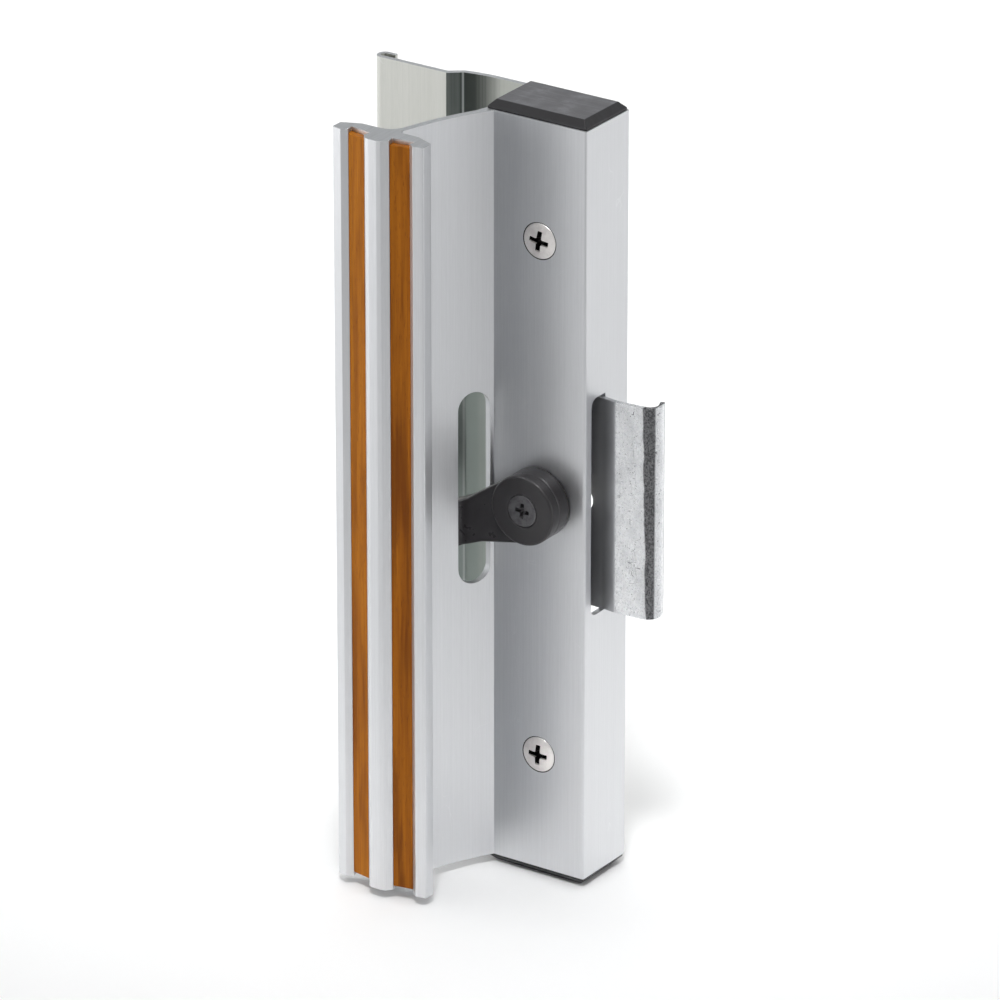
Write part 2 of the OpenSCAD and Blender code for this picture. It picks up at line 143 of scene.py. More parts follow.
def rounded(points, steps=4):
    """The outline with each corner given as (x, y, radius) turned into a small curve."""
    made = []
    for i, point in enumerate(points):
        if len(point) == 2:
            made.append(point)
            continue
        here = Vector(point[:2])
        before = Vector(points[i - 1][:2]) - here
        after = Vector(points[(i + 1) % len(points)][:2]) - here
        reach = point[2] / math.tan(before.angle(after) / 2)
        start = here + before.normalized() * min(reach, 0.45 * before.length)
        end = here + after.normalized() * min(reach, 0.45 * after.length)
        for k in range(steps + 1):
            t = k / steps
            made.append(tuple(start * (1 - t) ** 2 + here * 2 * t * (1 - t) + end * t**2))
    return made


def rectangle(x0, y0, x1, y1, r=0.0):
    """A rectangle, with its corners rounded if r is given."""
    corners = [(x0, y0), (x1, y0), (x1, y1), (x0, y1)]
    return rounded([(x, y, r) for x, y in corners]) if r else corners


def stadium(length, width, steps=16):
    """A bar with round ends along Y, centred."""
    r, reach = width / 2, (length - width) / 2
    return arc(0, reach, r, 0, 180, steps) + arc(0, -reach, r, 180, 360, steps)


# ---------------------------------------------------------------- meshes
ALONG_Y = Matrix.Rotation(math.radians(-90), 4, "X")  # local Z becomes +Y, local Y becomes -Z


def at(x=0.0, y=0.0, z=0.0):
    return Matrix.Translation((x, y, z))


def new_object(name, bm, place):
    """Puts a bmesh drawn in millimetres into the scene, in place and in metres."""
    bm.transform(Matrix.Scale(MM, 4) @ place)
    bmesh.ops.recalc_face_normals(bm, faces=bm.faces)
    mesh = bpy.data.meshes.new(name)
    bm.to_mesh(mesh)
    bm.free()
    obj = bpy.data.objects.new(name, mesh)
    bpy.context.scene.collection.objects.link(obj)
    return obj


def loft(name, rings, place=Matrix.Identity(4)):
    """A closed solid through rings of as many 3-D points each; a ring of one point is a tip."""
    bm = bmesh.new()
    loops = [[bm.verts.new(p) for p in ring] for ring in rings]
    for a, b in zip(loops, loops[1:]):
        for i in range(max(len(a), len(b))):
            corners = [a[i % len(a)], a[(i + 1) % len(a)], b[(i + 1) % len(b)], b[i % len(b)]]
            bm.faces.new(list(dict.fromkeys(corners)))
    for end in (loops[0], loops[-1]):
        if len(end) > 2:
            bm.faces.new(end)
    return new_object(name, bm, place)


def prism(name, outline, low, high, place=Matrix.Identity(4)):
    """The outline in X and Y, from low to high along Z, then put in place."""
    return loft(name, [[(x, y, z) for x, y in outline] for z in (low, high)], place)


def lathe(name, profile, place=Matrix.Identity(4), steps=96):
    """A solid of revolution about local Z from (radius, height) pairs."""
    rings = []
    for r, h in profile:
        turns = [360 * i / steps for i in range(steps)] if r else [0]
        rings.append([(r * cosd(a), r * sind(a), h) for a in turns])
    return loft(name, rings, place)


def inset(outline, depth):
    """The outline moved inwards by a small depth; it runs anticlockwise or clockwise."""
    area = sum(a[0] * b[1] - b[0] * a[1] for a, b in zip(outline, outline[1:] + outline[:1]))
    side = math.copysign(depth, area)
    made = []
    for i, point in enumerate(outline):
        before = (Vector(point) - Vector(outline[i - 1])).normalized()
        after = (Vector(outline[(i + 1) % len(outline)]) - Vector(point)).normalized()
        along = (before + after).normalized()
        miter = side / max(0.5, along.dot(after))
        made.append((point[0] - along.y * miter, point[1] + along.x * miter))
    return made


def extrusion(name, outline, low, high, rim=0.12):
    """A prism whose cut ends have a small chamfer all round."""
    small = inset(outline, rim)
    levels = ((low, small), (low + rim, outline), (high - rim, outline), (high, small))
    return loft(name, [[(x, y, z) for x, y in ring] for z, ring in levels])


def cushion(name, outline, low, high, r, place, steps=4):
    """A prism whose two ends are rounded over all round."""
    turns = [90 * i / steps for i in range(steps + 1)]
    levels = [(low + r * (1 - sind(a)), a) for a in turns[::-1]]
    levels += [(high - r * (1 - sind(a)), a) for a in turns]
    rings = []
    for z, a in levels:
        rings.append([(x, y, z) for x, y in inset(outline, r * (1 - cosd(a)))])
    return loft(name, rings, place)


def block(name, low, high):
    """A box between two corners."""
    return prism(name, rectangle(low[0], low[1], high[0], high[1]), low[2], high[2])


def bake(obj):
    """Applies every modifier to the mesh."""
    graph = bpy.context.evaluated_depsgraph_get()
    old, made = obj.data, bpy.data.meshes.new_from_object(obj.evaluated_get(graph))
    obj.modifiers.clear()
    obj.data = made
    bpy.data.meshes.remove(old)


def combine(obj, tool, operation):
    """Joins the tool to the piece, or cuts it out, and removes the tool."""
    change = obj.modifiers.new(operation, "BOOLEAN")
    change.operation = operation
    change.solver = "EXACT"
    change.object = tool
    bake(obj)
    bpy.data.objects.remove(tool)


def cut(obj, tool):
    combine(obj, tool, "DIFFERENCE")


def add(obj, tool):
    combine(obj, tool, "UNION")


def soften(obj, width, segments=2, angle=32):
    """Rounds the edges sharper than the angle, and leaves flat faces flat in the shading."""
    bm = bmesh.new()
    bm.from_mesh(obj.data)
    bmesh.ops.remove_doubles(bm, verts=bm.verts, dist=1e-7)
    bmesh.ops.dissolve_limit(bm, angle_limit=math.radians(0.05), verts=bm.verts, edges=bm.edges)
    bm.to_mesh(obj.data)
    bm.free()
    if width:
        edges = obj.modifiers.new("edges", "BEVEL")
        edges.width = width * MM
        edges.segments = segments
        edges.limit_method = "ANGLE"
        edges.angle_limit = math.radians(angle)
        edges.use_clamp_overlap = False
        bake(obj)
    for face in obj.data.polygons:
        face.use_smooth = True
    obj.data.set_sharp_from_angle(angle=math.radians(50))
    normals = obj.modifiers.new("normals", "WEIGHTED_NORMAL")
    normals.keep_sharp = True
    return obj


def paint(obj, index, inside):
    """Gives a material index to the faces whose centre, in millimetres, passes the test."""
    for face in obj.data.polygons:
        if inside(face.center / MM, face.normal):
            face.material_index = index


def stand_in(piece, node, *finishes):
    """The detailed piece takes a CAD node's place: its body and its looks."""
    for finish in finishes:
        piece.data.materials.append(finish)
    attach(piece, BODY_OF[node])
    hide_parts(node)
    return piece


# ---------------------------------------------------------------- material helpers
def srgb(r, g, b):
    """A colour given as 8-bit sRGB, as the linear RGBA that a shader takes."""
    def linear(c):
        c /= 255
        return c / 12.92 if c <= 0.04045 else ((c + 0.055) / 1.055) ** 2.4
    return (linear(r), linear(g), linear(b), 1.0)


class Finish:
    """A material under construction: a Principled shader and the nodes that feed it."""

    def __init__(self, name, colour, roughness, **sockets):
        self.material = bpy.data.materials.new(name)
        self.material.use_nodes = True
        self.tree = self.material.node_tree
        self.shader = self.tree.nodes["Principled BSDF"]
        self.shader.inputs["Base Color"].default_value = colour
        self.shader.inputs["Roughness"].default_value = roughness
        for socket, value in sockets.items():
            self.shader.inputs[socket.replace("_", " ")].default_value = value
        self.place = self.node("ShaderNodeTexCoord").outputs["Object"]

    def node(self, kind, **settings):
        made = self.tree.nodes.new(kind)
        for key, value in settings.items():
            setattr(made, key, value)
        return made

    def feed(self, socket, value):
        """Links an output into a socket, or sets a plain value on it."""
        if isinstance(value, bpy.types.NodeSocket):
            self.tree.links.new(value, socket)
        else:
            socket.default_value = value

    def stretched(self, x, y, z, shift=0.0):
        """Object coordinates in units of x, y and z millimetres."""
        mapping = self.node("ShaderNodeMapping")
        self.feed(mapping.inputs["Vector"], self.place)
        mapping.inputs["Scale"].default_value = (1 / (x * MM), 1 / (y * MM), 1 / (z * MM))
        mapping.inputs["Location"].default_value = (shift, shift * 0.7, shift * 1.3)
        return mapping.outputs["Vector"]

    def noise(self, vector, detail=2.0, roughness=0.5, distortion=0.0):
        made = self.node("ShaderNodeTexNoise")
        self.feed(made.inputs["Vector"], vector)
        made.inputs["Scale"].default_value = 1.0
        made.inputs["Detail"].default_value = detail
        made.inputs["Roughness"].default_value = roughness
        made.inputs["Distortion"].default_value = distortion
        return made.outputs["Fac"]

    def span(self, value, low, high, to_low=0.0, to_high=1.0):
        """Maps low..high smoothly onto to_low..to_high."""
        made = self.node("ShaderNodeMapRange", interpolation_type="SMOOTHSTEP")
        for socket, number in zip(made.inputs, (value, low, high, to_low, to_high)):
            self.feed(socket, number)
        return made.outputs["Result"]

    def maths(self, operation, a, b=0.0):
        made = self.node("ShaderNodeMath", operation=operation)
        self.feed(made.inputs[0], a)
        self.feed(made.inputs[1], b)
        return made.outputs[0]

    def axis(self, letter):
        """One object coordinate in millimetres."""
        split = self.node("ShaderNodeSeparateXYZ")
        self.feed(split.inputs[0], self.place)
        return self.maths("DIVIDE", split.outputs[letter], MM)

    def blend(self, fac, a, b, mode="MIX"):
        made = self.node("ShaderNodeMix", data_type="RGBA", blend_type=mode)
        self.feed(made.inputs["Factor"], fac)
        self.feed(made.inputs[6], a)
        self.feed(made.inputs[7], b)
        return made.outputs[2]

    def colour(self, value):
        self.feed(self.shader.inputs["Base Color"], value)

    def roughness(self, value):
        self.feed(self.shader.inputs["Roughness"], value)

    def bump(self, height, depth):
        """Raises the surface by up to depth millimetres where height is 1."""
        made = self.node("ShaderNodeBump")
        made.inputs["Strength"].default_value = 1.0
        made.inputs["Distance"].default_value = depth * MM
        self.feed(made.inputs["Height"], height)
        self.feed(self.shader.inputs["Normal"], made.outputs["Normal"])


# ---------------------------------------------------------------- materials
def aluminium(name, light, dark, shift=0.0, rough=0.36):
    """Satin anodised extrusion: die lines, short brush strokes, a slow cloud and a few scuffs."""
    f = Finish(name, light, rough, Metallic=1.0)
    die = f.noise(f.stretched(0.55, 0.55, 260, shift), detail=3)
    brush = f.noise(f.stretched(0.22, 0.22, 7, shift), detail=2)
    cloud = f.noise(f.stretched(30, 30, 55, shift), detail=2)
    lines = f.maths("ADD", f.maths("MULTIPLY", die, 0.5), f.maths("MULTIPLY", brush, 0.5))
    tone = f.blend(f.span(lines, 0.3, 0.7), dark, light)
    tone = f.blend(f.span(cloud, 0.35, 0.75, 0.0, 0.35), tone, dark)
    # hairline scratches: the thin zero line of a stretched, bent noise
    bent = f.noise(f.stretched(9, 9, 14, shift + 5), detail=1, distortion=0.6)
    scratch = f.span(f.maths("ABSOLUTE", f.maths("SUBTRACT", bent, 0.5)), 0.0, 0.0035, 1.0, 0.0)
    sparse = f.span(f.noise(f.stretched(16, 16, 20, shift + 9), detail=0), 0.62, 0.7)
    scratch = f.maths("MULTIPLY", scratch, sparse)
    tone = f.blend(f.maths("MULTIPLY", scratch, 0.35), tone, srgb(235, 236, 238))
    f.colour(tone)
    f.roughness(f.span(lines, 0.25, 0.75, rough - 0.05, rough + 0.07))
    height = f.maths("SUBTRACT", lines, f.maths("MULTIPLY", scratch, 0.6))
    f.bump(height, 0.01)
    return f.material


def painted_shade_aluminium():
    """Face of the outside pull behind the web, slightly rougher, with painted shade: dark at the
    step, clearer beyond and darker towards both ends, and a painted highlight along the step's
    corner.
    """
    f = Finish("aluminium_painted_shade", srgb(150, 154, 148), 0.4, Metallic=1.0)
    die = f.noise(f.stretched(0.7, 0.7, 260, 60), detail=3)
    reach = f.maths("ADD", f.axis("X"), f.span(die, 0.3, 0.7, -1.0, 1.0))
    # painted shade: darker towards both ends than at mid-height
    ends = f.span(f.maths("ABSOLUTE", f.axis("Z")), 50.0, 115.0)
    tone = f.blend(ends, srgb(136, 144, 139), srgb(66, 70, 67))
    # painted shadow of the finger plate: darkest just past the step, clearing towards -27 mm
    tone = f.blend(f.span(reach, -46.0, -41.0, 0.35, 0.0), tone, srgb(150, 156, 151))
    tone = f.blend(f.span(reach, -39.5, -27.0), tone, srgb(172, 174, 168))
    # painted highlight: a light line along the step's corner
    from_step = f.maths("ABSOLUTE", f.maths("SUBTRACT", f.axis("X"), STEP_X))
    corner = f.span(from_step, 0.15, 0.4, 0.6, 0.0)
    tone = f.blend(corner, tone, srgb(190, 194, 190))
    f.colour(tone)
    f.roughness(f.span(die, 0.25, 0.75, 0.34, 0.46))
    f.bump(die, 0.01)
    return f.material


def cut_aluminium():
    """Sawn and tumbled ends of the extrusions."""
    f = Finish("aluminium_cut_end", srgb(180, 182, 184), 0.5, Metallic=1.0)
    saw = f.noise(f.stretched(0.25, 9, 9), detail=3)
    f.colour(f.blend(f.span(saw, 0.3, 0.7), srgb(172, 174, 176), srgb(188, 190, 192)))
    f.roughness(f.span(saw, 0.3, 0.7, 0.45, 0.58))
    f.bump(saw, 0.01)
    return f.material


def wood(name, dark, mid, light, shift):
    """Straight vertical grain with darker growth lines and short open pores."""
    f = Finish(name, mid, 0.45, Specular_IOR_Level=0.12)
    wander = f.noise(f.stretched(16, 16, 60, shift), detail=1)
    grain = f.noise(f.stretched(0.9, 0.9, 42, shift), detail=4, roughness=0.6, distortion=0.35)
    broad = f.noise(f.stretched(3.4, 3.4, 48, shift + 3), detail=2, distortion=0.5)
    tone = f.blend(f.span(grain, 0.35, 0.68), mid, light)
    tone = f.blend(f.span(broad, 0.42, 0.7, 0.0, 0.8), tone, dark)
    tone = f.blend(f.span(wander, 0.35, 0.65, 0.0, 0.35), tone, light)
    pores = f.noise(f.stretched(0.2, 0.2, 3.2, shift + 7), detail=1)
    pore = f.span(pores, 0.64, 0.72)
    f.colour(f.blend(f.maths("MULTIPLY", pore, 0.55), tone, dark))
    f.roughness(f.span(grain, 0.3, 0.7, 0.38, 0.55))
    height = f.maths("SUBTRACT", f.maths("MULTIPLY", grain, 0.5), pore)
    f.bump(height, 0.03)
    return f.material


def moulded(name, tone, wear_and_painted_reflection, rough, grain=0.35, depth=0.012, streak=0.0):
    """Moulded plastic: a fine pebble, faint mould streaks and rubbed patches."""
    f = Finish(name, tone, rough)
    pebble = f.noise(f.stretched(grain, grain, grain), detail=2)
    rubbed = f.noise(f.stretched(7, 7, 5), detail=3, roughness=0.65)
    flow = f.noise(f.stretched(14, 1.1, 14, 4), detail=3)
    patch = f.span(rubbed, 0.5, 0.75, 0.0, 0.6)
    patch = f.maths("ADD", patch, f.maths("MULTIPLY", f.span(flow, 0.45, 0.75), streak))
    f.colour(f.blend(patch, tone, wear_and_painted_reflection))
    f.roughness(f.span(rubbed, 0.3, 0.75, rough + 0.06, rough - 0.08))
    f.bump(pebble, depth)
    return f.material


def plated(name, tone, dull, rough, smooth_to, bend_from):
    """Plated sheet steel: plain and duller where it slides in its guides, frosted with specks and
    scratches beyond smooth_to (X, in millimetres), and a painted dark reflection round the bend."""
    f = Finish(name, tone, rough, Metallic=1.0)
    out = f.span(f.axis("X"), smooth_to, smooth_to + 1.2)
    frost = f.noise(f.stretched(0.55, 0.55, 0.7), detail=4, roughness=0.75)
    cloud = f.noise(f.stretched(6, 6, 9, 3), detail=3, roughness=0.6)
    shade = f.blend(f.span(frost, 0.4, 0.75, 0.0, 0.7), tone, dull)
    shade = f.blend(f.span(cloud, 0.4, 0.75, 0.0, 0.5), shade, dull)
    marks = 0.0
    for i, (x, z, gap) in enumerate(((9.0, 2.2, 0.62), (2.4, 12.0, 0.6), (6.0, 5.0, 0.64))):
        line = f.noise(f.stretched(x, x, z, 11 * i), detail=1, distortion=0.9)
        thin = f.span(f.maths("ABSOLUTE", f.maths("SUBTRACT", line, 0.5)), 0.002, 0.008, 1.0, 0.0)
        gate = f.span(f.noise(f.stretched(5, 5, 5, 17 * i), detail=0), gap, gap + 0.07)
        marks = f.maths("MAXIMUM", marks, f.maths("MULTIPLY", thin, gate))
    pits = f.span(f.noise(f.stretched(0.45, 0.45, 0.45, 30), detail=1), 0.68, 0.74)
    marks = f.maths("MULTIPLY", f.maths("MAXIMUM", marks, pits), out)
    shade = f.blend(out, dull, shade)
    # the painted dark reflection round the bend narrows downwards, with a slightly ragged inner
    # edge
    ragged = f.span(cloud, 0.3, 0.7, -0.25, 0.25)
    lean = f.maths("ADD", f.maths("MULTIPLY", f.axis("Z"), 0.02), ragged)
    inner = f.maths("ADD", f.axis("X"), lean)
    bend_to = bend_from + 3.0
    bend = f.maths("MULTIPLY", f.span(inner, bend_from, bend_from + 0.5),
                   f.span(f.axis("X"), bend_to - 0.4, bend_to, 1.0, 0.0))
    # painted dark reflection in the strip round the bend
    wear_and_painted_reflection = f.blend(f.span(frost, 0.4, 0.62), srgb(50, 50, 52), srgb(126, 126, 128))
    shade = f.blend(f.maths("MULTIPLY", bend, 0.92), shade, wear_and_painted_reflection)
    f.colour(f.blend(f.maths("MULTIPLY", marks, 0.75), shade, srgb(72, 72, 74)))
    f.roughness(f.span(out, 0.0, 1.0, 0.45, f.span(frost, 0.3, 0.7, rough - 0.04, rough + 0.1)))
    height = f.maths("SUBTRACT", f.maths("MULTIPLY", f.maths("MULTIPLY", frost, out), 0.5), marks)
    f.bump(height, 0.012)
    return f.material


def steel(name, tone, dull, rough, shift=0.0):
    """Turned or drawn steel with a fine grain and light tarnish."""
    f = Finish(name, tone, rough, Metallic=1.0)
    grain = f.noise(f.stretched(0.3, 0.3, 0.3, shift), detail=3)
    tarnish = f.noise(f.stretched(3, 3, 3, shift + 4), detail=3, roughness=0.65)
    f.colour(f.blend(f.span(tarnish, 0.4, 0.72), tone, dull))
    f.roughness(f.span(grain, 0.3, 0.7, rough - 0.05, rough + 0.1))
    f.bump(grain, 0.008)
    return f.material


ALUMINIUM = aluminium("aluminium_inside", srgb(222, 223, 225), srgb(215, 216, 218))
ALUMINIUM_OUT = aluminium("aluminium_outside", srgb(204, 204, 199), srgb(194, 195, 189), shift=40)
# painted shade and a painted highlight for the outside pull's face behind the web
ALUMINIUM_PAINTED_SHADE = painted_shade_aluminium()
ALUMINIUM_CUT = cut_aluminium()
PLAIN_ALUMINIUM = aluminium("aluminium_plain", srgb(196, 198, 200), srgb(180, 182, 184), 80, 0.3)
WOOD_LEFT = wood("wood_left", srgb(118, 60, 3), srgb(154, 88, 12), srgb(174, 107, 22), 0)
WOOD_RIGHT = wood("wood_right", srgb(100, 49, 2), srgb(140, 78, 9), srgb(162, 96, 16), 21)
BLACK_PLASTIC = moulded("black_plastic", srgb(28, 27, 29), srgb(38, 38, 41), 0.45, streak=0.5)
# painted sheen: a lighter copy of the black plastic for the caps' flat tops
BLACK_PLASTIC_PAINTED_SHEEN = moulded("black_plastic_top_painted_sheen", srgb(72, 72, 75), srgb(98, 99, 103), 0.42, streak=0.5)
BLACK_LEVER = moulded("black_lever", srgb(42, 40, 42), srgb(52, 50, 52), 0.34, 0.3, 0.003)
WHITE_NYLON = moulded("white_nylon", srgb(226, 222, 210), srgb(206, 200, 184), 0.5)
DARK_STEEL = steel("dark_steel", srgb(110, 109, 111), srgb(86, 85, 87), 0.42)
NICKEL = steel("nickel_steel", srgb(252, 248, 245), srgb(238, 233, 230), 0.42, 7)
# painted shade: near-black steel for the cross recesses and the gaps round the screw heads
RECESS_PAINTED_SHADE = steel("recess_painted_shade", srgb(52, 50, 50), srgb(26, 25, 25), 0.4, 12)
SPRING_STEEL = steel("spring_steel", srgb(180, 182, 184), srgb(140, 141, 143), 0.3, 15)
BRIGHT_STEEL = steel("bright_steel", srgb(214, 216, 218), srgb(180, 182, 184), 0.2, 19)
CAST_ZINC = steel("cast_zinc", srgb(186, 184, 180), srgb(150, 148, 144), 0.45, 23)
ZINC_PLATE = plated("zinc_plate", srgb(238, 239, 241), srgb(196, 197, 200), 0.24,
                    smooth_to=RIGHT_X + 4.6, bend_from=clamp_high.x - 3.5)


# ---------------------------------------------------------------- inside pull
def web_point(heading, depth=0.0):
    """A point of the grip web at a heading, at a depth behind its front surface."""
    return (
        CREASE_X - WEB_R * (sind(heading) - sind(WEB_ROOT_ANGLE)) - depth * sind(heading),
        FACE_Y + WEB_R * (cosd(heading) - cosd(WEB_ROOT_ANGLE)) + depth * cosd(heading),
    )


def web_heading(distance):
    """The web's heading at a distance along its front surface from the crease."""
    return WEB_ROOT_ANGLE + math.degrees(distance / WEB_R)


def web_side(depth, first, steps=28):
    """Points along the web at a depth, from a first heading to its tip."""
    turn = (WEB_TIP_ANGLE - first) / steps
    return [web_point(first + turn * i, depth) for i in range(steps + 1)]


# Grip bar section: distances from its middle, and reach in front of the housing face
INSERT_IN, INSERT_OUT = 4.5, 11.0
DOVETAIL = 0.5
INSERT_T = 2.4
INSERT_IN_REACH, INSERT_OUT_REACH = GRIP_REACH - 2.3, GRIP_REACH - 3.5
GRIP_BACK_REACH = GRIP_REACH - 9.6


def groove(side, gap=0.0, corner=0.0):
    """An insert's groove, from its outer to its inner edge; side is -1 or 1."""
    points = [
        (INSERT_OUT - gap, INSERT_OUT_REACH, corner),
        (INSERT_OUT + DOVETAIL - gap, INSERT_OUT_REACH - INSERT_T + gap, corner),
        (INSERT_IN - DOVETAIL + gap, INSERT_IN_REACH - INSERT_T + gap, corner),
        (INSERT_IN + gap, INSERT_IN_REACH, corner),
    ]
    return [(GRIP_X + side * u, FACE_Y - reach, r) for u, reach, r in points]


def grip_side(side):
    """One side of the grip bar's outline, from its back to the middle of its front."""
    half = GRIP_W / 2
    edge_reach, end_reach = GRIP_REACH - 7.0, GRIP_REACH - 2.9
    outer = [
        (half - 6.0, GRIP_BACK_REACH, 1.5),
        (half, edge_reach, EDGE_R),
        (half, end_reach, 0.6),
        (12.9, GRIP_REACH - 2.2, 0.35),
    ]
    rib = [
        (3.4, GRIP_REACH - 0.9, 0.35),
        (2.8, GRIP_REACH - 0.3, 0.5),
        (1.36, GRIP_REACH, 1.0),
    ]
    place = [(GRIP_X + side * u, FACE_Y - reach, r) for u, reach, r in outer]
    inner = [(GRIP_X + side * u, FACE_Y - reach, r) for u, reach, r in rib]
    return place + groove(side, corner=0.15) + inner


def pull_outline():
    """Section of the inside pull: channel, web and grip bar in one closed run."""
    def fillet(side, foot, r, start):
        """Round corner between the web and the bar's back, in front of the web or behind it."""
        y = FACE_Y - GRIP_BACK_REACH + r
        lean = side * (y - foot[1]) * cosd(WEB_TIP_ANGLE)
        x = foot[0] + side * (r + lean) / sind(WEB_TIP_ANGLE)
        return arc(x, y, r, start, 270 if side > 0 else -90, 14)

    right = fillet(1, web_point(WEB_TIP_ANGLE), FRONT_FILLET_R, 90 + WEB_TIP_ANGLE)
    left = fillet(-1, web_point(WEB_TIP_ANGLE, WEB_T), FILLET_R, WEB_TIP_ANGLE - 90)
    root_run, root_drop = 5.0, 1.2
    inner_r = 0.5
    channel = [
        (RIGHT_X, FACE_Y, EDGE_R),
        (RIGHT_X, 0, 0.4),
        (RIGHT_X - LIP_W, 0, 0.4),
        (RIGHT_X - LIP_W, -WALL, 0.4),
        (RIGHT_X - WALL, -WALL, inner_r),
        (RIGHT_X - WALL, FACE_Y + WALL, inner_r),
        (LEFT_X + WALL, FACE_Y + WALL, inner_r),
        (LEFT_X + WALL, -WALL, inner_r),
        (LEFT_X + LIP_W, -WALL, 0.4),
        (LEFT_X + LIP_W, 0, 0.4),
        (LEFT_X, 0, 0.4),
        (LEFT_X, FACE_Y + root_drop, 0.5),
    ]
    outline = channel + web_side(WEB_T, web_heading(root_run)) + left
    outline += grip_side(-1) + grip_side(1)[::-1]
    outline += right[::-1] + web_side(0, WEB_ROOT_ANGLE)[::-1]
    return rounded(outline)


def slot_tool():
    """Round-ended slot through the web, for the lever."""
    heading = web_heading(SLOT_MID)
    x, y = web_point(heading)
    depth = Vector((-sind(heading), cosd(heading), 0))
    across = Vector((0, 0, 1)).cross(depth)
    turn = Matrix((across, Vector((0, 0, 1)), depth)).transposed().to_4x4()
    return prism("slot", stadium(SLOT_H, SLOT_W), -1.6, WEB_T + 1.3, at(x, y, SLOT_RISE) @ turn)


def aperture_tool():
    """Opening in the strike side for the clamp, with its front corners rounded."""
    corner_r = 3.0
    outline = rounded([
        (APERTURE_FRONT, -APERTURE_HALF, corner_r),
        (APERTURE_REAR, -APERTURE_HALF),
        (APERTURE_REAR, APERTURE_HALF),
        (APERTURE_FRONT, APERTURE_HALF, corner_r),
    ], steps=10)
    turn = Matrix(((0, 0, 1), (1, 0, 0), (0, 1, 0))).to_4x4()
    return prism("aperture", outline, RIGHT_X - WALL - 1, RIGHT_X + 1, turn)


def countersink_tool(z):
    """Seat and through hole of a mounting screw, with a thin gap round the head."""
    hole_r, head_r = 3.0, SCREW_HEAD_R + 0.28
    profile = [(0, -2), (head_r, -2), (head_r, 0), (hole_r, 1.9), (hole_r, 4), (0, 4)]
    return lathe("countersink", profile, at(0, FACE_Y, z) @ ALONG_Y)


def inside_pull():
    """Extrusion with a slot in its web, an opening in its side and three bores in its face."""
    piece = extrusion("inside_pull_extrusion", pull_outline(), -HALF, HALF)
    bore_r = 5.05  # for the spindle's bush
    bore = [(0, -2), (bore_r, -2), (bore_r, 4), (0, 4)]
    cut(piece, slot_tool())
    cut(piece, aperture_tool())
    for z in (SCREW_Z, -SCREW_Z):
        cut(piece, countersink_tool(z))
    cut(piece, lathe("spindle", bore, at(0, FACE_Y) @ ALONG_Y))
    soften(piece, 0.14, angle=55)
    stand_in(piece, "inside_pull", ALUMINIUM, ALUMINIUM_CUT, RECESS_PAINTED_SHADE)
    slot_x, slot_y = web_point(web_heading(SLOT_MID))
    through = Vector((-sind(web_heading(SLOT_MID)), cosd(web_heading(SLOT_MID)), 0))

    def is_cut(centre, normal):
        """The sawn ends, and the walls of the slot."""
        across = math.hypot(centre.x - slot_x, centre.y - slot_y)
        in_slot = across < SLOT_W / 2 + 1.6 and abs(centre.z - SLOT_RISE) < SLOT_H / 2 + 0.2
        return abs(centre.z) > HALF - END_BAND or in_slot and abs(normal.dot(through)) < 0.5

    # painted shade in the thin gap round each mounting screw's head
    def painted_countersink_shade(centre, normal):
        away = math.hypot(centre.x, abs(centre.z) - SCREW_Z)
        return away < SCREW_HEAD_R + 0.55 and 0.03 < centre.y - FACE_Y < WALL + 0.3

    paint(piece, 1, is_cut)
    paint(piece, 2, painted_countersink_shade)


def wood_inserts():
    """Strips that fill the grip bar's dovetail grooves, with a hairline gap."""
    sides = ((-1, "wood_insert_left", WOOD_LEFT), (1, "wood_insert_right", WOOD_RIGHT))
    for side, node, finish in sides:
        outline = rounded(groove(side, gap=0.05, corner=0.2))
        piece = prism(node + "_strip", outline, insert_low.z, insert_high.z)
        soften(piece, 0.2, segments=3)
        stand_in(piece, node, finish)


# ---------------------------------------------------------------- outside pull
def outside_outline():
    """Section of the outside pull: base, cove, step, finger plate and curl."""
    plate_t = 1.6
    base_end = 10.5
    cove_run, cove_angle = 12.0, 14.0
    cove_r = cove_run / sind(cove_angle)
    cove_x = STEP_X + cove_run
    curl_r, curl_t, curl_back = 2.5, 1.3, 3.1
    curl_x, curl_y = outside_low.x + curl_r, -STEP_H + curl_r
    outer = arc(curl_x, curl_y, curl_r, 270, 90, 20)
    inner = arc(curl_x, curl_y, curl_r - curl_t, 90, 250, 14)
    return rounded([
        (base_end, 0, 0.4),
        *arc(cove_x, -cove_r, cove_r, 90, 90 + cove_angle, 12),
        (STEP_X - STEP_RUN, -STEP_H, 0.9),
        *outer,
        (curl_x + curl_back, curl_y + curl_r, 0.4),
        (curl_x + curl_back, curl_y + curl_r - curl_t, 0.4),
        *inner,
        (curl_x + 1, -STEP_H + plate_t, 0.4),
        (STEP_X - STEP_RUN - 0.6, -STEP_H + plate_t, 0.9),
        *arc(cove_x, -cove_r, cove_r + plate_t, 90 + cove_angle, 90, 12),
        (base_end, plate_t, 0.4),
    ])


